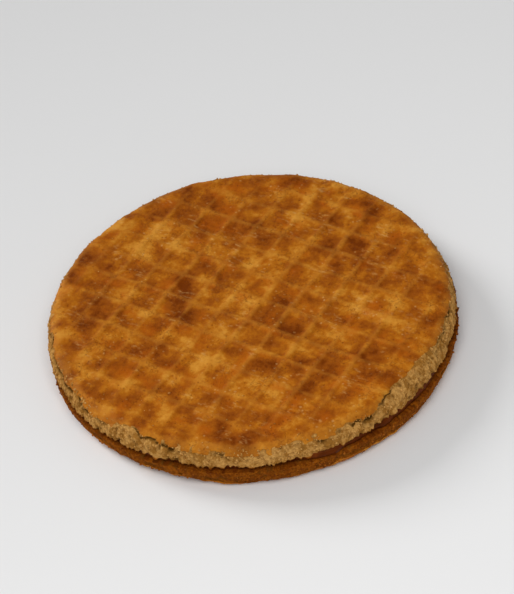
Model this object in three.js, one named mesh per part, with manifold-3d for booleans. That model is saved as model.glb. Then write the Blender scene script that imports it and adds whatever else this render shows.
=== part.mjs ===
// A stroopwafel: a thin baked waffle, split in two, with a layer of caramel between the halves.
// Millimetres, +Z up. The origin is at the middle of the waffle, on the surface it lies on,
// and the ridges of both grids run along X and Y.

import * as THREE from 'three';
import { ImprovedNoise } from 'three/addons/math/ImprovedNoise.js';
import { mergeVertices } from 'three/addons/utils/BufferGeometryUtils.js';
import Module from 'manifold-3d';

const wasm = await Module();
wasm.setup();

// The whole waffle
const diameter = 82;
const halfShift = new THREE.Vector2(-0.3, 0.12); // each half lies this far off the middle

// A wafer, from its cut face to the floor of its cells, and the grid the iron leaves on it
const waferBody = 3.5;
const ridgePitch = 6.2;
const ridgeHeight = 0.35;
const ridgeFoot = 1.0; // half of its width where it meets the skin
const ridgeFlat = 0.45; // half of the width of the flat on a ridge that the waffle rests on
const ridgeWear = 0.3; // the share of its height that a ridge loses where it baked low
const skinWave = 0.22; // how far the skin rises and falls
const skinWaveLength = 17;
const edgeDrop = 0.25; // the ring cutter presses the rim down
const edgeDropWidth = 2.5;
const splitMargin = 1; // the sheet goes on past the split that parts the halves

// The cut rim leans in from the split to the skin. It has a slow wander, a ragged crumb and a torn edge.
const rimSegments = 144;
const rimRows = 3;
const upperLean = 1.4;
const lowerLean = 0.6;
const rimLeanPower = 1.4; // above 1, the rim stands upright at the split and rounds over at the skin
const rimWander = 0.22;
const rimWanderLength = 14;
const crumbDepth = 0.14;
const crumbLength = 2.1;
const tearDepth = 0.22;
const tearLength = 1.5;

// The caramel
const caramelThickness = 1.4;
const caramelSegments = 96;
const caramelRows = 2;
const caramelInset = 0.9; // how far it stays inside the rim
const caramelCreep = 0.5; // how far it creeps out and in again
const caramelCreepLength = 9;
const caramelBulge = 0.45; // its edge is round, like a bead
const beddingGap = 0.05; // between the caramel and each wafer

// Where one crossing of each grid lies
const upperCrossing = new THREE.Vector2(0.36, 0.22).multiplyScalar(ridgePitch);
const lowerCrossing = new THREE.Vector2(0, 0);

// Each piece's own unevenness
const lowerSeed = 11;
const upperSeed = 4;
const caramelSeed = 21;

const noise = new ImprovedNoise();
const noisePeak = 0.7; // how far the noise goes to each side of zero
const seedStep = new THREE.Vector3(7.3, 3.1, 5.7);

// A smooth height from about -1 to 1 that swings over `length`. Each seed gives another one.
function wander(x, y, z, length, seed) {
  const place = new THREE.Vector3(x, y, z).divideScalar(length).addScaledVector(seedStep, seed);
  return noise.noise(place.x, place.y, place.z) / noisePeak;
}

// A closed geometry as a solid that can be cut.
function toSolid(geometry) {
  geometry.deleteAttribute('normal');
  geometry.deleteAttribute('uv');
  const merged = mergeVertices(geometry);
  const mesh = new wasm.Mesh({
    numProp: 3,
    vertProperties: new Float32Array(merged.attributes.position.array),
    triVerts: new Uint32Array(merged.index.array),
  });
  return new wasm.Manifold(mesh);
}

function toGeometry(solid) {
  const mesh = solid.getMesh();
  const geometry = new THREE.BufferGeometry();
  geometry.setAttribute('position', new THREE.BufferAttribute(mesh.vertProperties, 3));
  geometry.setIndex(new THREE.BufferAttribute(mesh.triVerts, 1));
  geometry.computeVertexNormals();
  return geometry;
}

// Moves every vertex of a geometry with a function that changes the point it is given.
function reshape(geometry, change) {
  const position = geometry.attributes.position;
  const point = new THREE.Vector3();
  for (let i = 0; i < position.count; i += 1) {
    point.fromBufferAttribute(position, i);
    change(point);
    position.setXYZ(i, point.x, point.y, point.z);
  }
  return geometry;
}

// The lines of vertices that make a ridge: how far each lies from its middle, and if it is raised
const roundRidge = [
  { across: -ridgeFoot, raised: false },
  { across: 0, raised: true },
  { across: ridgeFoot, raised: false },
];
const flatRidge = [
  { across: -ridgeFoot, raised: false },
  { across: -ridgeFlat, raised: true },
  { across: ridgeFlat, raised: true },
  { across: ridgeFoot, raised: false },
];
const ridgesEachSide = Math.ceil(diameter / 2 / ridgePitch) + 1;
const ridgesAcross = 2 * ridgesEachSide + 1;

// The line of vertices at this share of the sheet's width, from -0.5 to 0.5
function gridLine(share, half) {
  const count = half.ridge.length;
  const line = Math.round((share + 0.5) * (ridgesAcross * count - 1));
  const ridge = Math.floor(line / count) - ridgesEachSide;
  const { across, raised } = half.ridge[line % count];
  return { along: ridge * ridgePitch + across, raised };
}

// How far the outer face lies above a wafer's body. The half that the waffle rests on has level ridges.
function skinHeight(x, y, raised, half) {
  const wave = skinWave * wander(x, y, 0, skinWaveLength, half.seed);
  const wear = ridgeWear * Math.abs(wander(x, y, 0, ridgePitch, half.seed + 1));
  const rimDistance = diameter / 2 - half.lean - Math.hypot(x, y);
  const drop = edgeDrop * (1 - THREE.MathUtils.smoothstep(rimDistance, 0, edgeDropWidth));
  if (half.rests) {
    return (raised ? ridgeHeight : Math.min(wave, 0)) - drop;
  }
  return wave - drop + (raised ? ridgeHeight * (1 - wear) : 0);
}

// A square of baked sheet, wider and thicker than the wafer cut from it. Its outer face carries the grid.
function bakedSheet(half) {
  const segments = ridgesAcross * half.ridge.length - 1;
  const sheet = new THREE.BoxGeometry(1, 1, 1, segments, segments, 1);
  return reshape(sheet, (point) => {
    const column = gridLine(point.x, half);
    const row = gridLine(point.y, half);
    const x = column.along + half.crossing.x;
    const y = row.along + half.crossing.y;
    const outer = point.z * half.side > 0;
    const height = waferBody + skinHeight(x, y, column.raised || row.raised, half);
    point.set(x, y, half.side * (outer ? height : -splitMargin));
  });
}

// A disc whose side is pushed in and out. It is as wide as `width` across both X and Y.
function raggedDisc(width, height, segments, rows, radiusAt) {
  const disc = new THREE.CylinderGeometry(1, 1, height, segments, rows);
  disc.rotateX(Math.PI / 2);
  reshape(disc, (point) => {
    const radius = Math.hypot(point.x, point.y) > 0.5 ? radiusAt(point.x, point.y, point.z) : 0;
    point.x *= radius;
    point.y *= radius;
  });
  disc.center();
  const size = disc.boundingBox.getSize(new THREE.Vector3());
  return disc.scale(width / size.x, width / size.y, 1);
}

// What the ring cutter and the split between the halves leave of the sheet. The split is at height 0.
function cutDisc(half) {
  const height = waferBody + ridgeHeight + 2 * skinWave;
  const radius = diameter / 2;
  const disc = raggedDisc(diameter, height, rimSegments, rimRows, (x, y, z) => {
    const px = x * radius;
    const py = y * radius;
    const aboveSplit = Math.max(0, height / 2 + half.side * z);
    const slow = rimWander * wander(px, py, 0, rimWanderLength, half.seed + 2);
    const crumb = crumbDepth * wander(px, py, z, crumbLength, half.seed + 3);
    const tear = tearDepth * wander(px, py, 0, tearLength, half.seed + 4);
    const nearSplit = 1 - Math.min(1, aboveSplit / (waferBody / 2));
    const lean = half.lean * (aboveSplit / waferBody) ** rimLeanPower;
    return radius - lean + slow + crumb + tear * nearSplit;
  });
  return disc.translate(half.side * halfShift.x, half.side * halfShift.y, half.side * height / 2);
}

function waferGeometry(half) {
  const wafer = toSolid(bakedSheet(half)).intersect(toSolid(cutDisc(half)));
  return toGeometry(wafer);
}

function caramelGeometry() {
  const radius = diameter / 2 - caramelInset;
  const width = 2 * radius + caramelCreep;
  return raggedDisc(width, caramelThickness, caramelSegments, caramelRows, (x, y, z) => {
    const creep = caramelCreep * wander(x * radius, y * radius, 0, caramelCreepLength, caramelSeed);
    const bead = caramelBulge * (2 * z / caramelThickness) ** 2;
    return radius + creep - bead;
  });
}

function bakedWafer(name, half, color) {
  const material = new THREE.MeshStandardMaterial({ color, roughness: 0.62, metalness: 0 });
  const mesh = new THREE.Mesh(waferGeometry(half), material);
  mesh.name = name;
  return mesh;
}

function caramelLayer() {
  const material = new THREE.MeshStandardMaterial({ color: '#7a3a0e', roughness: 0.28, metalness: 0 });
  const mesh = new THREE.Mesh(caramelGeometry(), material);
  mesh.name = 'caramel_layer';
  return mesh;
}

// From the table up: the lower wafer on its ridges, the caramel, and the upper wafer
const lowerCutFace = ridgeHeight + waferBody;
const caramelMiddle = lowerCutFace + beddingGap + caramelThickness / 2;
const upperCutFace = lowerCutFace + caramelThickness + 2 * beddingGap;

const lowerHalf = {
  side: -1,
  seed: lowerSeed,
  crossing: lowerCrossing,
  ridge: flatRidge,
  lean: lowerLean,
  rests: true,
};
const upperHalf = {
  side: 1,
  seed: upperSeed,
  crossing: upperCrossing,
  ridge: roundRidge,
  lean: upperLean,
  rests: false,
};

const lowerWafer = bakedWafer('lower_wafer', lowerHalf, '#b06a26');
lowerWafer.position.z = lowerCutFace;

const caramel = caramelLayer();
caramel.position.z = caramelMiddle;

const upperWafer = bakedWafer('upper_wafer', upperHalf, '#b9742c');
upperWafer.position.z = upperCutFace;

const stroopwafel = new THREE.Group();
stroopwafel.add(lowerWafer, caramel, upperWafer);

export default stroopwafel;
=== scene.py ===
import math
import random

import bmesh
import bpy
from mathutils import Euler, Matrix, Vector, noise
from mathutils.bvhtree import BVHTree


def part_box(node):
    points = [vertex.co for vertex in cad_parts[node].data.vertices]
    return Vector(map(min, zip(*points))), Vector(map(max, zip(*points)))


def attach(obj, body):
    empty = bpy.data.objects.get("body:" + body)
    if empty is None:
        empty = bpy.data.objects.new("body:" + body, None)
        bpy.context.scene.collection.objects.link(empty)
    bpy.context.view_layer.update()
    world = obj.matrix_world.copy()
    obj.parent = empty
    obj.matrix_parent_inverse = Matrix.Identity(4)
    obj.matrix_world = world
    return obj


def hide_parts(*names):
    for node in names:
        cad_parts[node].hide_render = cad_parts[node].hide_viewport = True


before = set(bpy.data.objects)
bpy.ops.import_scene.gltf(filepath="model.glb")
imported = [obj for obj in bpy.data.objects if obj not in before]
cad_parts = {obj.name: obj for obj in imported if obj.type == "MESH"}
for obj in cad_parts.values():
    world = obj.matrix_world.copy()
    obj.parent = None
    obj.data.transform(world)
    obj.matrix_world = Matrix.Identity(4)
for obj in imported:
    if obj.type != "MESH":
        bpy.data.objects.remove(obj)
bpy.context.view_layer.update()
scene = bpy.context.scene
mm = 0.001
farOff = 60 * mm               # rays that look for a surface start this far off


def smooth(low, high, value):  # 0 up to low, 1 from high on
    t = min(1.0, max(0.0, (value - low) / (high - low)))
    return t * t * (3 - 2 * t)


def blend(a, b, share):
    return a + (b - a) * share


def wander(place, length, seed, octaves=0):  # from about -1 to 1, swinging over this length
    at = place / length + Vector((seed * 7.3, seed * 3.1, seed * 5.7))
    return noise.fractal(at, 1.0, 2.1, octaves) if octaves else noise.noise(at) * 1.4


def outward(angle, reach=1.0):
    return Vector((math.cos(angle), math.sin(angle), 0)) * reach


def up(height):
    return Vector((0, 0, height))


def angleOf(v):
    return math.atan2(v.co.y, v.co.x)


def surfaceOf(mesh):
    return BVHTree.FromPolygons([v.co for v in mesh.vertices], [p.vertices for p in mesh.polygons])


def sideHit(surface, angle, z):  # where the side lies at this angle and height, and its normal
    return surface.ray_cast(outward(angle, farOff) + up(z), -outward(angle))[:2]


def radiusAt(surface, angle, z):
    return sideHit(surface, angle, z)[0].xy.length


def addRing(bm, border):  # extrudes the border, and gives the new border and its vertices
    made = bmesh.ops.extrude_edge_only(bm, edges=border)["geom"]
    border = [g for g in made if isinstance(g, bmesh.types.BMEdge) and g.is_boundary]
    return border, [g for g in made if isinstance(g, bmesh.types.BMVert)]


def closeAtAxis(bm, border, height):
    ring = addRing(bm, border)[1]
    bmesh.ops.pointmerge(bm, verts=ring, merge_co=up(height))


def finished(bm, name):
    bmesh.ops.recalc_face_normals(bm, faces=bm.faces)
    for face in bm.faces:
        face.smooth = True
    mesh = bpy.data.meshes.new(name)
    bm.to_mesh(mesh)
    bm.free()
    piece = bpy.data.objects.new(name, mesh)
    scene.collection.objects.link(piece)
    return piece


wafer = {
    "cuts": 264,               # rows of quads across the outer face, each way
    "rimRows": 19,             # rows of quads down the cut rim
    "rimFoot": 0.15 * mm,      # the rim is measured no nearer to the split than this
    "shoulderDrop": 1.1 * mm,  # and no nearer than this to the height of the tallest ridge
    "floorInset": 5 * mm,      # cells nearer to the rim have the floor of those further in
    "innerInset": 2.0 * mm,    # the hidden flat face begins this far inside the rim

    "ridgePitch": 6.2 * mm,
    "ridgeHeight": 0.3 * mm,
    "ridgeFoot": 1.15 * mm,    # half a ridge's width where it meets the skin
    "ridgeBend": 0.2 * mm,     # ridges aren't quite straight
    "ridgeLeast": 0.25,        # the share of its height that a ridge keeps where it baked low
    "ridgeAtRim": 0.35,        # and where it runs out to the rim
    "ridgeFade": 12 * mm,

    "edgeWidth": 14 * mm,      # the skin looks different this near to the rim
    "edgeDrop": 0.25 * mm,     # the cutter presses the rim down
    "edgeDropWidth": 2.5 * mm,
    "lipDrop": 0.6 * mm,       # and the skin rounds over at its very edge
    "lipWidth": 1.4 * mm,
    "puff": 0.16 * mm,         # the skin is bumpy near the rim
    "puffFade": (2 * mm, 9 * mm),
    "blister": 0.08 * mm,
    "grain": 0.03 * mm,

    "chip": 1.1 * mm,          # here and there the skin stops this far short of the rim
    "chipDrop": 0.3 * mm,
    "chipFade": 0.25 * mm,
    "crackDrop": 0.5 * mm,     # a gap opens beside the chipped skin
    "crackWidth": 0.65 * mm,
    "knockAt": math.radians(-5),  # at one place the skin is chipped further in
    "knockWidth": 13 * mm,     # to each side

    "tuck": 0.25 * mm,         # how much more the rim leans in at the very top
    "tuckHeight": 0.7 * mm,
    "flap": 0.75 * mm,         # the skin hangs over the rim about this far
    "flapLeast": 0.15,         # the smallest share of that
    "flapFade": 0.15 * mm,
    "step": 0.1 * mm,          # below it the crumb lies this much further in
    "stepFade": 0.2 * mm,
    "slot": 0.85 * mm,         # depth of the gaps where the skin has parted from the crumb
    "slotBelow": 0.65 * mm,    # the middle of a gap lies this far below the skin's edge
    "slotHeight": 0.45 * mm,
    "fibre": 0.09 * mm,
    "lump": 0.15 * mm,
    "pore": 0.4 * mm,
    "poreSpacing": 1.2 * mm,
    "cavitySpacing": 2.4 * mm,
    "tooth": 0.45 * mm,        # the torn edge at the split
    "sag": 0.3 * mm,           # which hangs lower at some places, over the caramel
}

swings = {                     # the length of each swing, its seed and its finer octaves
    "bendX": (5 * mm, 1, 0),
    "bendY": (5 * mm, 2, 0),
    "baked": (9 * mm, 3, 1),
    "blister": (2.6 * mm, 4, 2),
    "grain": (0.9 * mm, 5, 0),
    "fibre": (0.55 * mm, 6, 1),
    "parted": (4.2 * mm, 7, 0),
    "fineTooth": (0.45 * mm, 8, 0),
    "torn": (1.5 * mm, 9, 1),
    "lump": (1.3 * mm, 10, 2),
    "pores": (2.3 * mm, 11, 0),
    "flap": (6 * mm, 12, 0),
    "sag": (8 * mm, 13, 0),
    "fineFlap": (1.1 * mm, 14, 1),
    "wideFlap": (30 * mm, 15, 0),
    "chip": (9 * mm, 16, 0),
    "fineChip": (1.3 * mm, 17, 1),
    "broken": (0.8 * mm, 18, 1),
    "tooth": (1.2 * mm, 19, 1),
    "puff": (3.4 * mm, 20, 0),
    "cavities": (6 * mm, 21, 0),
}

upperSettings = {
    "node": "upper_wafer",
    "side": 1,                 # its outer face looks up
    "seed": 4,
    "crossing": (0.36, 0.22),  # where two ridges cross, in pitches from the middle
    "rests": False,
    "soaked": 0,               # how much caramel the crumb has taken up; its soaked tones also carry painted shade
    "knock": 1.3 * mm,         # how much further in the one chipped place goes
}

lowerSettings = {
    "node": "lower_wafer",
    "side": -1,
    "seed": 11,
    "crossing": (0, 0),
    "rests": True,             # its ridges all reach down to what it lies on
    "soaked": 0.62,
    "knock": 0,
}


class Half:  # one wafer, measured from its CAD node; heights go outward from the split
    def __init__(self, node, side, seed, crossing, rests, soaked, knock):
        low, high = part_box(node)
        self.surface = surfaceOf(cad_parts[node].data)
        self.side = side
        self.seed = seed
        self.crossing = [share * wafer["ridgePitch"] for share in crossing]
        self.rests = rests
        self.soaked = soaked
        self.knock = knock
        self.split = low.z if side > 0 else high.z
        self.tallest = high.z - low.z
        self.shoulder = self.tallest - wafer["shoulderDrop"]
        self.radius = (high.x - low.x) / 2
        self.floors = {}
        self.rims = {}

    def swing(self, key, place):
        length, seed, octaves = swings[key]
        return wander(place, length, self.seed + seed, octaves)

    def rimAt(self, angle, height):
        height = min(max(height, wafer["rimFoot"]), self.shoulder)
        key = (round(angle, 5), round(height, 6))
        if key not in self.rims:
            self.rims[key] = radiusAt(self.surface, angle, self.split + self.side * height)
        return self.rims[key]

    def floorAt(self, i, j):  # the height of the floor of one cell
        if (i, j) not in self.floors:
            x = self.crossing[0] + (i + 0.5) * wafer["ridgePitch"]
            y = self.crossing[1] + (j + 0.5) * wafer["ridgePitch"]
            spot = Vector((x, y, 0))
            reach = self.radius - wafer["floorInset"]
            if spot.length > reach:
                spot *= reach / spot.length
            spot.z = self.split + self.side * farOff
            hit = self.surface.ray_cast(spot, up(-self.side))[0]
            self.floors[(i, j)] = abs(hit.z - self.split)
        return self.floors[(i, j)]

    def levelAt(self, place):  # the cells' floors, blended from one to the next
        u = (place.x - self.crossing[0]) / wafer["ridgePitch"] - 0.5
        v = (place.y - self.crossing[1]) / wafer["ridgePitch"] - 0.5
        i, j = math.floor(u), math.floor(v)
        across, along = smooth(0, 1, u - i), smooth(0, 1, v - j)
        near = blend(self.floorAt(i, j), self.floorAt(i + 1, j), across)
        far = blend(self.floorAt(i, j + 1), self.floorAt(i + 1, j + 1), across)
        return blend(near, far, along)

    def ridgeAt(self, place):  # 0 on the floor of a cell, 1 on a ridge
        pitch, foot = wafer["ridgePitch"], wafer["ridgeFoot"]
        flat = 1
        for along, crossing, bend in zip(place, self.crossing, ("bendX", "bendY")):
            away = (along + wafer["ridgeBend"] * self.swing(bend, place) - crossing) / pitch
            away = abs((away + 0.5) % 1 - 0.5) * pitch
            flat *= 1 - max(0, 1 - (away / foot) ** 2) ** 2
        return 1 - flat

    def pillowAt(self, place):  # 1 in the middle of a cell, 0 on its ridges
        inside = 1
        for along, crossing in zip(place, self.crossing):
            away = (along - crossing) / wafer["ridgePitch"] % 1 - 0.5
            inside *= 1 - (2 * away) ** 2
        return inside

    def ridgeKeptAt(self, place, fromEdge):  # the share of its height that a ridge has there
        baked = smooth(-0.5, 0.5, self.swing("baked", place))
        kept = blend(wafer["ridgeLeast"], 1, baked)
        return kept * blend(wafer["ridgeAtRim"], 1, smooth(0, wafer["ridgeFade"], fromEdge))

    def skinAt(self, place, fromEdge):
        ridge = self.ridgeAt(place)
        level = self.levelAt(place)
        rise = wafer["ridgeHeight"] * self.ridgeKeptAt(place, fromEdge)
        if self.rests:
            rise = self.tallest - level
        height = level + rise * ridge
        height -= wafer["edgeDrop"] * (1 - smooth(0, wafer["edgeDropWidth"], fromEdge))
        height += wafer["puff"] * self.swing("puff", place) * (1 - smooth(*wafer["puffFade"], fromEdge))
        height += wafer["blister"] * self.swing("blister", place) * (1 - 0.6 * ridge)
        height += wafer["grain"] * self.swing("grain", place)
        return min(height, self.tallest), ridge

    def partedAt(self, arc):  # 1 where the skin has come away from the crumb, less if it is soaked
        return (1 - self.soaked) * smooth(-0.2, 0.3, self.swing("parted", arc))

    def chippedAt(self, arc, fromEdge):  # where the skin is gone, and the gap beside what is left
        away = (arc - outward(wafer["knockAt"], self.radius)).length
        knocked = self.knock * (1 - smooth(0.3, 1, away / wafer["knockWidth"]))
        chip = 0.9 * self.swing("chip", arc) + 0.4 * self.swing("fineChip", arc)
        outside = wafer["chip"] * chip + knocked - fromEdge
        bare = smooth(0, wafer["chipFade"], outside)
        beside = 1 - smooth(wafer["chipFade"], wafer["crackWidth"], outside)
        return bare, bare * beside * self.partedAt(arc)

    def poreAt(self, place):  # 1 in the middle of an open pore of the crumb, more in a cavity
        near = noise.voronoi(place / wafer["poreSpacing"])[0][0]
        pore = (1 - smooth(0.1, 0.45, near)) * smooth(-0.3, 0.3, self.swing("pores", place))
        near = noise.voronoi(place / wafer["cavitySpacing"])[0][0]
        cavity = (1 - smooth(0.08, 0.38, near)) * smooth(0, 0.3, self.swing("cavities", place))
        return max(pore, 1.5 * cavity)


skinMarks = ("skin", "ridge", "pillow", "hollow", "soak", "edge")


def setMarks(v, marks, **values):
    for key, value in values.items():
        v[marks[key]] = value


def layOutSkin(bm, marks, half):
    for v in bm.verts:  # the square sheet is pressed round
        x, y = v.co.x, v.co.y
        v.co.x = x * math.sqrt(1 - y * y / 2)
        v.co.y = y * math.sqrt(1 - x * x / 2)
    for v in bm.verts:
        share = min(1, v.co.xy.length)
        angle = angleOf(v)
        edge = half.rimAt(angle, half.shoulder) - wafer["tuck"]
        fromEdge = (1 - share) * edge
        place = outward(angle, share * edge)
        arc = outward(angle, half.radius)
        height, ridge = half.skinAt(place, fromEdge)

        lip = max(0, 1 - fromEdge / wafer["lipWidth"])
        torn = smooth(0.3, 0.6, half.swing("torn", place)) * smooth(0.2, 1, lip)
        bare, crack = half.chippedAt(arc, fromEdge)
        broken = 0.4 + 0.6 * half.swing("broken", place)
        hole = bare * half.poreAt(place + up(height))
        drop = wafer["lipDrop"] * (1 - math.sqrt(1 - lip * lip)) + wafer["chipDrop"] * bare * broken
        drop += wafer["crackDrop"] * crack + wafer["pore"] * hole
        v.co = place + up(height - drop)

        setMarks(v, marks, skin=(1 - torn) * (1 - bare), ridge=ridge, pillow=half.pillowAt(place))
        # the hollow mark asks for painted shade in the cracks, the broken bared crumb and its pores
        setMarks(v, marks, hollow=max(1.8 * crack, bare * (0.8 * broken - 0.3), 0.9 * hole))
        setMarks(v, marks, soak=half.soaked, edge=1 - smooth(0, wafer["edgeWidth"], fromEdge))


def layOutRim(marks, half, rings):
    for row, ring in enumerate(rings, 1):
        down = row / len(rings)
        low = smooth(0.6, 1, down)
        for v in ring:
            angle = angleOf(v)
            arc = outward(angle, half.radius)
            depth, height = v.co.z * down, v.co.z * (1 - down)
            place = arc + up(height)
            skinned = v[marks["skin"]]

            overhang = 0.5 * half.swing("flap", arc) + 0.35 * half.swing("fineFlap", arc)
            overhang += 0.9 * half.swing("wideFlap", arc) + 0.6
            belowFlap = depth - wafer["flap"] * max(wafer["flapLeast"], overhang) * skinned
            crumb = smooth(0, wafer["stepFade"], belowFlap)  # 0 on the skin, 1 on the cut side
            fromSlot = (belowFlap - wafer["slotBelow"]) / wafer["slotHeight"]
            slot = skinned * half.partedAt(arc) * math.exp(-fromSlot * fromSlot)
            fibre = half.swing("fibre", arc + up(height * 0.6))
            lump = half.swing("lump", place)
            hole = half.poreAt(place)
            tooth = 0.6 * half.swing("fineTooth", arc) + 0.6 * half.swing("tooth", arc)

            tuck = wafer["tuck"] * (1 - smooth(0, wafer["tuckHeight"], depth))
            rough = wafer["fibre"] * fibre + wafer["lump"] * lump + wafer["tooth"] * tooth * low
            rough -= wafer["pore"] * hole + wafer["slot"] * slot + wafer["step"]
            sag = wafer["sag"] * (0.6 + half.swing("sag", arc)) + wafer["tooth"] * (tooth + 0.3)
            v.co = outward(angle, half.rimAt(angle, height) - tuck + rough * crumb)
            v.co.z = height - sag * low * low

            # the hollow mark asks for painted shade in pores, low fibres and lumps, and in the slots
            # under the skin
            hollow = min(1.2, 0.8 * hole + 0.45 * max(0, -fibre) + 0.35 * max(0, -lump))
            stickyAndShaded = smooth(0.86, 1.12, down + 0.1 * tooth)  # caramel clings to the torn edge, and painted shade darkens it next to the seam
            setMarks(v, marks, skin=skinned * (1 - smooth(0, wafer["flapFade"], belowFlap)), edge=1)
            setMarks(v, marks, hollow=crumb * max(hollow, 1.8 * slot))
            setMarks(v, marks, soak=blend(half.soaked, 1.1, stickyAndShaded))


def waferPiece(name, half):
    bm = bmesh.new()
    marks = {key: bm.verts.layers.float.new(key) for key in skinMarks}
    bmesh.ops.create_grid(bm, x_segments=wafer["cuts"], y_segments=wafer["cuts"], size=1.0)
    layOutSkin(bm, marks, half)

    border = [e for e in bm.edges if e.is_boundary]
    rings = []
    for row in range(wafer["rimRows"]):
        border, ring = addRing(bm, border)
        rings.append(ring)
    border, hidden = addRing(bm, border)
    layOutRim(marks, half, rings)
    for v in hidden:  # the flat cut face, which lies on the caramel
        v.co = outward(angleOf(v), half.radius - wafer["innerInset"])
        setMarks(v, marks, soak=1, skin=0)
    closeAtAxis(bm, border, 0)

    bmesh.ops.scale(bm, vec=Vector((1, 1, half.side)), verts=bm.verts)
    bmesh.ops.translate(bm, vec=up(half.split), verts=bm.verts)
    return finished(bm, name)


upperHalf = Half(**upperSettings)
lowerHalf = Half(**lowerSettings)
upperWafer = waferPiece("upperWafer", upperHalf)
lowerWafer = waferPiece("lowerWafer", lowerHalf)
print("wafers made", len(upperWafer.data.polygons), len(lowerWafer.data.polygons))


caramel = {
    "segments": 1080,
    "rows": 9,
    "bead": 0.4 * mm,          # how far its edge is rounded
    "grip": 0.1 * mm,          # how far it sinks into each wafer
    "creep": 0.5 * mm,         # where some has been pressed out, up to the rim
    "creepLength": 7 * mm,
    "creepSeed": 33,
    "ripple": 0.16 * mm,
    "rippleLength": 2.4 * mm,
    "rippleRise": 0.6,         # under 1, ripples are taller than they are wide
    "rippleSeed": 31,
}


def caramelPiece(name, node):
    low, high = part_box(node)
    surface = surfaceOf(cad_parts[node].data)
    middle = (low.z + high.z) / 2
    half = (high.z - low.z) / 2 + caramel["grip"]
    bm = bmesh.new()
    rings = [bmesh.ops.create_circle(bm, segments=caramel["segments"], radius=1.0)["verts"]]
    bottom = top = list(bm.edges)
    for row in range(caramel["rows"]):
        top, ring = addRing(bm, top)
        rings.append(ring)
    for row, ring in enumerate(rings):
        t = row / caramel["rows"] * 2 - 1
        for v in ring:
            angle = angleOf(v)
            reach = radiusAt(surface, angle, middle)
            place = outward(angle, reach) + up(t * half * caramel["rippleRise"])
            creep = wander(outward(angle, reach), caramel["creepLength"], caramel["creepSeed"])
            ripple = wander(place, caramel["rippleLength"], caramel["rippleSeed"], 2)
            reach += caramel["creep"] * smooth(0.2, 0.6, creep)
            reach += caramel["ripple"] * ripple - caramel["bead"] * t * t
            v.co = outward(angle, reach) + up(middle + t * half)
    closeAtAxis(bm, bottom, middle - half)
    closeAtAxis(bm, top, middle + half)
    return finished(bm, name)


caramelSeam = caramelPiece("caramelSeam", "caramel_layer")
print("caramel made", len(caramelSeam.data.polygons))


crumbs = {
    "seed": 5,
    "smallest": 0.08 * mm,
    "largest": 0.30 * mm,
    "mostlySmall": 2.2,        # above 1, more of them are small
    "rise": 0.15,              # the middle of one lies this share of its radius above the surface
    "stretch": (0.6, 1.3),
    "dent": (-0.3, 0.2),       # how far its corners are moved, as a share of its radius
    "onUpperRim": 1500,
    "onLowerRim": 700,
    "rimStart": 0.2 * mm,      # they lie this far from the split and further
    "upperShade": 0.0,         # from pale crumb at 0 to soaked crumb at 1, which carries painted shade
    "lowerShade": 0.6,
    "shadeSpread": 0.4,
    "onSkin": 90,
    "skinStart": 0.7 * mm,     # on the skin they lie this far in from the edge
    "skinReach": 9 * mm,       # and up to this much further
    "skinSizes": (0.7, 2),     # as shares of the smallest
    "skinShade": 0.5,
}


def addCrumb(bm, tint, rng, spot, normal, size, shade):
    turn = Euler([rng.uniform(0, math.tau) for axis in range(3)])
    stretch = Vector([rng.uniform(*crumbs["stretch"]) for axis in range(3)])
    place = spot + normal * size * crumbs["rise"]
    matrix = Matrix.LocRotScale(place, turn, stretch)
    made = bmesh.ops.create_icosphere(bm, subdivisions=1, radius=size, matrix=matrix)["verts"]
    for v in made:
        v.co += (v.co - place) * rng.uniform(*crumbs["dent"])
        v[tint] = shade


def crumbPiece(name):
    rng = random.Random(crumbs["seed"])
    bm = bmesh.new()
    tint = bm.verts.layers.float.new("tint")
    for host, half, count, shade in (
        (upperWafer, upperHalf, crumbs["onUpperRim"], crumbs["upperShade"]),
        (lowerWafer, lowerHalf, crumbs["onLowerRim"], crumbs["lowerShade"]),
    ):
        surface = surfaceOf(host.data)
        for index in range(count):
            angle = rng.uniform(0, math.tau)
            height = half.shoulder * rng.uniform(0.02, 1) + crumbs["rimStart"]
            spot, normal = sideHit(surface, angle, half.split + half.side * height)
            size = blend(crumbs["smallest"], crumbs["largest"], rng.random() ** crumbs["mostlySmall"])
            if spot:
                own = shade + rng.uniform(0, crumbs["shadeSpread"])
                addCrumb(bm, tint, rng, spot, normal, size, own)
    surface = surfaceOf(upperWafer.data)
    for index in range(crumbs["onSkin"]):
        angle = rng.uniform(0, math.tau)
        reach = upperHalf.rimAt(angle, upperHalf.shoulder) - crumbs["skinStart"]
        reach -= crumbs["skinReach"] * rng.random() ** 2
        spot, normal = surface.ray_cast(outward(angle, reach) + up(farOff), up(-1))[:2]
        size = crumbs["smallest"] * rng.uniform(*crumbs["skinSizes"])
        addCrumb(bm, tint, rng, spot, normal, size, rng.uniform(0, crumbs["skinShade"]))
    return finished(bm, name)


rimCrumbs = crumbPiece("rimCrumbs")
print("crumbs made", len(rimCrumbs.data.polygons))


class Wire:  # a socket that plain expressions can use
    def __init__(self, finish, socket):
        self.finish = finish
        self.socket = socket

    def __add__(self, other):
        return self.finish.math("ADD", self, other)

    def __radd__(self, other):
        return self.finish.math("ADD", other, self)

    def __sub__(self, other):
        return self.finish.math("SUBTRACT", self, other)

    def __rsub__(self, other):
        return self.finish.math("SUBTRACT", other, self)

    def __mul__(self, other):
        return self.finish.math("MULTIPLY", self, other)

    def __rmul__(self, other):
        return self.finish.math("MULTIPLY", other, self)


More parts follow.
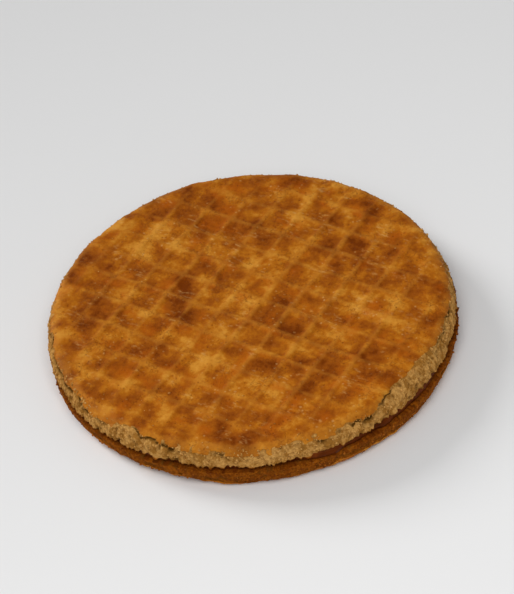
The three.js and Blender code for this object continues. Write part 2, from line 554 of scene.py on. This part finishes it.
class Finish:  # one material and its nodes
    def __init__(self, name):
        self.material = bpy.data.materials.new(name)
        self.material.use_nodes = True
        self.tree = self.material.node_tree
        self.shader = self.tree.nodes["Principled BSDF"]
        self.place = self.node("ShaderNodeTexCoord", output="Object")

    def node(self, kind, settings=None, inputs=None, output=0):
        made = self.tree.nodes.new(kind)
        for key, value in (settings or {}).items():
            if key == "stops":
                self.fillRamp(made.color_ramp, value)
            else:
                setattr(made, key, value)
        for key, value in (inputs or {}).items():
            self.plug(made.inputs[key], value)
        return Wire(self, made.outputs[output])

    def fillRamp(self, ramp, stops):
        while len(ramp.elements) < len(stops):
            ramp.elements.new(1.0)
        for element, (position, tone) in zip(ramp.elements, stops):
            element.position = position
            element.color = rgba(tone)

    def plug(self, socket, value):
        if isinstance(value, Wire):
            self.tree.links.new(value.socket, socket)
        else:
            socket.default_value = value

    def math(self, operation, a, b):
        return self.node("ShaderNodeMath", {"operation": operation}, {0: a, 1: b})

    def clamp(self, value):
        return self.node("ShaderNodeClamp", None, {"Value": value})

    def between(self, value, low, high):  # 0 at low, 1 at high, smooth
        inputs = {"Value": value, "From Min": low, "From Max": high}
        return self.node("ShaderNodeMapRange", {"interpolation_type": "SMOOTHSTEP"}, inputs)

    def mix(self, share, a, b):
        return self.node("ShaderNodeMix", {"data_type": "RGBA"}, {0: share, 6: a, 7: b}, output=2)

    def ramp(self, value, stops):
        return self.node("ShaderNodeValToRGB", {"stops": stops}, {"Fac": value})

    def mark(self, name):
        return self.node("ShaderNodeAttribute", {"attribute_name": name}, output="Fac")

    def spot(self, length, seed, stretch=(1, 1, 1)):
        inputs = {
            "Vector": self.place,
            "Scale": tuple(s / length for s in stretch),
            "Location": (seed * 3.7, seed * 1.9, seed * 2.3),
        }
        return self.node("ShaderNodeMapping", {"vector_type": "POINT"}, inputs)

    def grain(self, length, seed, detail=4, rough=0.55, stretch=(1, 1, 1)):
        inputs = {
            "Vector": self.spot(length, seed, stretch),
            "Scale": 1.0,
            "Detail": detail,
            "Roughness": rough,
        }
        return self.node("ShaderNodeTexNoise", {"noise_dimensions": "3D"}, inputs)

    def places(self, length, seed, low, high):  # 1 in some places of about this length, 0 elsewhere
        return self.between(self.grain(length, seed), low, high)

    def line(self, length, seed, width, detail=2):  # thin lines where the noise crosses its middle
        away = self.grain(length, seed, detail) - 0.5
        return self.between(away * away, width * width, 0.0)

    def cells(self, length, seed):
        inputs = {"Vector": self.spot(length, seed), "Scale": 1.0}
        return self.node("ShaderNodeTexVoronoi", {"feature": "F1"}, inputs, output="Distance")

    def set(self, **values):
        for key, value in values.items():
            self.plug(self.shader.inputs[key.replace("_", " ")], value)

    def bump(self, height, distance, strength):
        inputs = {"Height": height, "Distance": distance, "Strength": strength}
        self.plug(self.shader.inputs["Normal"], self.node("ShaderNodeBump", None, inputs))


tones = {                      # linear red, green and blue
    # scorched is the darkest bake, and also the painted shade in pits and cracks
    "scorchedAndPitShade": (0.16, 0.030, 0.001),
    "deepBrown": (0.24, 0.055, 0.003),
    "brown": (0.31, 0.079, 0.004),
    "golden": (0.42, 0.127, 0.006),
    "light": (0.56, 0.220, 0.022),
    "pale": (0.62, 0.262, 0.032),
    "ruddy": (0.42, 0.092, 0.003),
    "ridge": (0.58, 0.250, 0.032),
    "cream": (0.68, 0.38, 0.12),
    # crumb is set a little darker by painted shade of the cut side; crumbShade is painted shade in low
    # fibres and between grains
    "crumb": (0.60, 0.315, 0.086),
    "crumbShade": (0.31, 0.132, 0.022),
    # pore and gap are painted shade in the crumb's pores, slots and cracks
    "pore": (0.12, 0.050, 0.007),
    "gap": (0.08, 0.032, 0.004),
    # soaked and soakedShade are partly caramel soaked into the crumb, partly painted shade with a
    # reddish painted bounce light
    "soaked": (0.33, 0.092, 0.005),
    "soakedShade": (0.17, 0.038, 0.002),
    # sticky is caramel on the torn edge, darkened with painted shade next to the seam
    "stickyAndShaded": (0.10, 0.017, 0.001),
    # caramel and caramelShade are darkened with painted shade of the recessed seam
    "caramel": (0.13, 0.024, 0.002),
    "caramelShade": (0.05, 0.0075, 0.0007),
}


def rgba(tone):
    return (*tones[tone], 1)


skinLook = {
    "stops": (                 # what each degree of baking looks like
        (0.1, "scorchedAndPitShade"),
        (0.26, "deepBrown"),
        (0.444, "brown"),
        (0.628, "golden"),
        (0.86, "light"),
        (1.0, "pale"),
    ),
    "bake": 0.516,             # how the skin is baked on the whole
    "wide": 13 * mm,           # the patches that baked alike, and how much they differ
    "wideContrast": 1.44,
    "patch": 4.2 * mm,
    "patchContrast": 1.68,
    "fine": 0.9 * mm,
    "fineContrast": 0.6,
    # the rim zone is paler and so the middle darker: partly the bake, partly painted shade over the
    # middle
    "edgePale": 0.04,
    "cellBrownAndShade": 0.144,        # how much darker some cells are in the middle, partly baked browner and partly painted shade in the sunken cells, and which cells
    "cellBrownAt": (9 * mm, 16, 0.42, 0.62),
    "ruddy": 0.6,              # how strongly each thing shows, and the places where it does
    "ruddyAt": (5 * mm, 20, 0.5, 0.7),
    # pale streaks: mostly painted reflection, partly flaky skin
    "streaksAndReflections": 0.35,
    "streakSize": 0.7 * mm,
    "streaksAt": (6 * mm, 9, 0.5, 0.65),
    "flecks": 0.35,
    "fleckSize": 1.3 * mm,
    "flecksAt": (5 * mm, 10, 0.48, 0.62),
    "pits": 0.5,
    "pitSize": 1.0 * mm,
    "pitsAt": (3 * mm, 15, 0.46, 0.58),
    "cracks": 0.4,
    "crackSize": 1.6 * mm,
    "cracksAt": (5 * mm, 18, 0.46, 0.6),
    "lip": 0.25,
    "ridge": 0.26,
    "ridgeLost": 0.18,         # the ridges' part that is lost at the rim
    "roughness": 0.54,
    "shine": 0.045,
    "shineTint": (1.0, 0.66, 0.34, 1),
    "relief": 0.3 * mm,
}

crumbLook = {
    "fibre": 0.45 * mm,
    "fibreStretch": (1, 1, 0.7),
    "clump": 1.8 * mm,
    "grit": 0.6 * mm,
    "dryGrit": 0.4,            # how strongly the painted shade between the grains shows
    "wetGrit": 0.25,
    "tiny": 0.35 * mm,
    "roughness": 0.9,
}


def bakedTone(f, marks, patch, fine):  # the skin's tone before what lies on it
    look = skinLook
    wide = f.grain(look["wide"], seed=1, detail=3)
    bake = look["bake"] + (wide - 0.5) * look["wideContrast"]
    bake = bake + (patch - 0.5) * look["patchContrast"] + (fine - 0.5) * look["fineContrast"]
    brownerAndShaded = marks["pillow"] * f.places(*look["cellBrownAt"])
    bake = bake - brownerAndShaded * look["cellBrownAndShade"] + marks["edge"] * look["edgePale"]
    ruddy = f.places(*look["ruddyAt"]) * look["ruddy"]
    return f.mix(ruddy, f.ramp(f.clamp(bake), look["stops"]), rgba("ruddy"))


def skinSide(f, marks, patch, fine):  # the tone and the relief of the baked skin
    look = skinLook
    tone = bakedTone(f, marks, patch, fine)
    # the crests and the rounded lip are paler: partly paler baking, partly painted highlight where the
    # raised skin meets the light
    crest = f.between(marks["ridge"] + (patch - 0.5) * 1.3, 0.35, 1.2)
    crest = crest * (look["ridge"] - marks["edge"] * look["ridgeLost"])
    lip = f.between(marks["edge"] + (patch - 0.5) * 0.15, 0.94, 1.0) * look["lip"]
    tone = f.mix(f.clamp(crest + lip), tone, rgba("ridge"))

    # pale streaks, mostly painted reflection
    streaksAndReflections = f.between(f.grain(look["streakSize"], seed=7, detail=3, stretch=(0.5, 1, 1)), 0.52, 0.72)
    streaksAndReflections = streaksAndReflections * f.places(*look["streaksAt"])
    flecks = f.between(f.cells(look["fleckSize"], seed=4) + (fine - 0.5) * 0.7, 0.22, 0.08)
    flecks = flecks * f.places(*look["flecksAt"])
    pits = f.between(f.cells(look["pitSize"], seed=14), 0.24, 0.1)
    pits = pits * f.places(*look["pitsAt"])
    cracks = f.line(look["crackSize"], seed=17, width=0.02, detail=4)
    cracks = cracks * f.places(*look["cracksAt"])

    tone = f.mix(streaksAndReflections * look["streaksAndReflections"], tone, rgba("cream"))
    tone = f.mix(flecks * look["flecks"], tone, rgba("cream"))
    # pits and cracks are darkened as painted shade
    tone = f.mix(pits * look["pits"], tone, rgba("scorchedAndPitShade"))
    tone = f.mix(cracks * look["cracks"], tone, rgba("scorchedAndPitShade"))
    return tone, patch * 0.4 + fine * 0.6 - pits * 0.35 - cracks * 0.2


def crumbSide(f, marks):  # and those of the cut crumb, dry or soaked with caramel, with painted shade in its hollows
    look = crumbLook
    fibre = f.grain(look["fibre"], seed=6, stretch=look["fibreStretch"])
    clump = f.grain(look["clump"], seed=19, detail=3)
    grit = f.cells(look["grit"], seed=21) + (fibre - 0.5) * 0.6
    grit = f.between(grit, 0.25, 0.7)  # 0 on the grains, 1 between them, where painted shade goes
    # the crumb is darker where its fibres lie low, as painted shade, and in random clumps
    dry = f.between(fibre + (clump - 0.5) * 1.6, 0.3, 0.66)
    dry = f.mix(dry, rgba("crumbShade"), rgba("crumb"))
    dry = f.mix(grit * look["dryGrit"], dry, rgba("crumbShade"))
    wet = f.between(fibre + (clump - 0.5) * 0.9, 0.34, 0.66)
    wet = f.mix(wet, rgba("soakedShade"), rgba("soaked"))
    wet = f.mix(grit * look["wetGrit"], wet, rgba("soakedShade"))

    soak = marks["soak"] + (clump - 0.5) * 0.5
    tone = f.mix(f.between(soak, 0.15, 0.6), dry, wet)
    tone = f.mix(f.between(soak, 0.75, 1.1), tone, rgba("stickyAndShaded"))
    # painted shade in the hollows: pores, then the deeper slots and cracks
    tone = f.mix(f.clamp(marks["hollow"] * 0.75), tone, rgba("pore"))
    tone = f.mix(f.between(marks["hollow"], 0.9, 1.5), tone, rgba("gap"))
    return tone, fibre * 0.8 - grit * 0.6


def bakedFinish(name):
    f = Finish(name)
    marks = {key: f.mark(key) for key in skinMarks}
    patch = f.grain(skinLook["patch"], seed=2, detail=6, rough=0.54)
    fine = f.grain(skinLook["fine"], seed=3, detail=6, rough=0.68)
    tiny = f.grain(crumbLook["tiny"], seed=8, detail=3, rough=0.6)
    skinTone, skinRelief = skinSide(f, marks, patch, fine)
    crumbTone, crumbRelief = crumbSide(f, marks)

    isSkin = f.between(marks["skin"] + (fine - 0.5) * 0.8, 0.35, 0.65)
    isCrumb = 1 - isSkin
    f.set(Base_Color=f.mix(isSkin, crumbTone, skinTone))
    rough = skinLook["roughness"] + (patch - 0.5) * 0.4 + (fine - 0.5) * 0.3
    f.set(Roughness=f.clamp(rough * isSkin + crumbLook["roughness"] * isCrumb))
    f.set(Specular_IOR_Level=skinLook["shine"], Specular_Tint=skinLook["shineTint"])
    relief = (skinRelief + tiny * 0.25) * isSkin + (crumbRelief + tiny * 0.6) * isCrumb
    f.bump(relief, skinLook["relief"], 0.7)
    return f.material


caramelLook = {
    "swirl": 3 * mm,
    "stops": ((0.3, "caramelShade"), (0.7, "caramel")),
    "roughness": 0.42,
    "shine": 0.14,
    "shineTint": (1.0, 0.55, 0.25, 1),
    "dimples": 1.1 * mm,
    "relief": 0.2 * mm,
}


def caramelFinish(name):
    f = Finish(name)
    look = caramelLook
    swirl = f.grain(look["swirl"], seed=11, detail=3)
    f.set(Base_Color=f.ramp(swirl, look["stops"]))
    f.set(Roughness=f.clamp(look["roughness"] + (swirl - 0.5) * 0.3))
    f.set(Specular_IOR_Level=look["shine"], Specular_Tint=look["shineTint"])
    f.bump(f.grain(look["dimples"], seed=12, detail=2), look["relief"], 0.35)
    return f.material


looseLook = {                  # the loose crumbs, by their shade; the soaked end carries painted shade
    "stops": ((0.0, "crumb"), (0.4, "crumbShade"), (0.7, "soaked"), (1.0, "soakedShade")),
    "fine": 0.25 * mm,
    "roughness": 0.9,
    "shine": 0.14,
    "relief": 0.1 * mm,
}


def looseFinish(name):
    f = Finish(name)
    look = looseLook
    fine = f.grain(look["fine"], seed=13, detail=3)
    shade = f.clamp(f.mark("tint") + (fine - 0.5) * 0.4)
    f.set(Base_Color=f.ramp(shade, look["stops"]))
    f.set(Roughness=look["roughness"], Specular_IOR_Level=look["shine"])
    f.bump(fine, look["relief"], 0.5)
    return f.material


baked = bakedFinish("bakedWafer")
upperWafer.data.materials.append(baked)
lowerWafer.data.materials.append(baked)
caramelSeam.data.materials.append(caramelFinish("caramel"))
rimCrumbs.data.materials.append(looseFinish("bakedCrumbs"))
print("finishes made")


studio = {
    "flatReach": 1.2,          # the floor is flat this far out, then sweeps up all round
    "sweep": 0.45,
    "sweepRows": 12,
    "floorSegments": 96,
    "floorTone": (0.80, 0.80, 0.80, 1),
    "worldTone": (1.0, 1.0, 1.0, 1),
    "worldStrength": 0.28,
}

lights = {                     # each looks at the origin
    "frontSoftbox": {"kind": "AREA", "place": (0.14, -0.22, 0.4), "power": 1.3, "size": 0.35},
    "sideWindow": {"kind": "SUN", "place": (-0.64, 0.05, 0.3), "power": 1.9, "angle": math.radians(24)},
}


def makeFloor():
    bm = bmesh.new()
    segments, reach = studio["floorSegments"], studio["flatReach"]
    bmesh.ops.create_circle(bm, cap_ends=True, segments=segments, radius=reach)
    border = [e for e in bm.edges if e.is_boundary]
    for row in range(studio["sweepRows"]):
        border, ring = addRing(bm, border)
        turn = math.radians(90) * (row + 1) / studio["sweepRows"]
        for v in ring:
            v.co = outward(angleOf(v), reach + studio["sweep"] * math.sin(turn))
            v.co.z = studio["sweep"] * (1 - math.cos(turn))
    floor = finished(bm, "floor")
    f = Finish("palePaper")
    f.set(Base_Color=studio["floorTone"], Roughness=0.9, Specular_IOR_Level=0.1)
    floor.data.materials.append(f.material)


def addLight(name, kind, place, power, **settings):
    data = bpy.data.lights.new(name, kind)
    data.energy = power
    for key, value in settings.items():
        setattr(data, key, value)
    light = bpy.data.objects.new(name, data)
    light.location = place
    light.rotation_mode = "QUATERNION"
    light.rotation_quaternion = (-Vector(place)).to_track_quat("-Z", "Y")
    scene.collection.objects.link(light)


def makeWorld():
    world = bpy.data.worlds.new("studio")
    world.use_nodes = True
    sky = world.node_tree.nodes["Background"]
    sky.inputs["Color"].default_value = studio["worldTone"]
    sky.inputs["Strength"].default_value = studio["worldStrength"]
    scene.world = world
    scene.view_settings.view_transform = "Standard"


camera = {
    "azimuth": 36.5,
    "elevation": 43,
    "roll": 8.3,               # clockwise, seen from behind the camera
    "middle": (0, 0, 8 * mm),
    "aimRight": 1.4 * mm,      # it looks this far right of the middle
    "aimUp": 1.6 * mm,
    "away": 445 * mm,
    "lens": 136,
    "sensor": 36,
    "nearest": 10 * mm,        # it shows only what lies between these two distances
    "furthest": 20,
}


def makeCamera():
    data = bpy.data.cameras.new("camera")
    data.sensor_width = camera["sensor"]
    data.lens = camera["lens"]
    data.clip_start = camera["nearest"]
    data.clip_end = camera["furthest"]
    seen = bpy.data.objects.new("camera", data)
    a, e, roll = (math.radians(camera[key]) for key in ("azimuth", "elevation", "roll"))
    back = Vector((math.sin(a) * math.cos(e), -math.cos(a) * math.cos(e), math.sin(e)))
    turn = (-back).to_track_quat("-Z", "Y").to_matrix() @ Matrix.Rotation(-roll, 3, "Z")
    aim = Vector(camera["middle"]) + turn @ Vector((camera["aimRight"], camera["aimUp"], 0))
    seen.rotation_euler = turn.to_euler()
    seen.location = aim + back * camera["away"]
    scene.collection.objects.link(seen)
    scene.camera = seen


makeFloor()
for name, settings in lights.items():
    addLight(name, **settings)
makeWorld()
makeCamera()
print("studio made")

for piece, slot in (
    (upperWafer, "baked_wafer"),
    (lowerWafer, "baked_wafer"),
    (caramelSeam, "caramel"),
    (rimCrumbs, "baked_wafer"),
):
    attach(piece, "root")
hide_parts("upper_wafer")
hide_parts("lower_wafer")
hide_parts("caramel_layer")
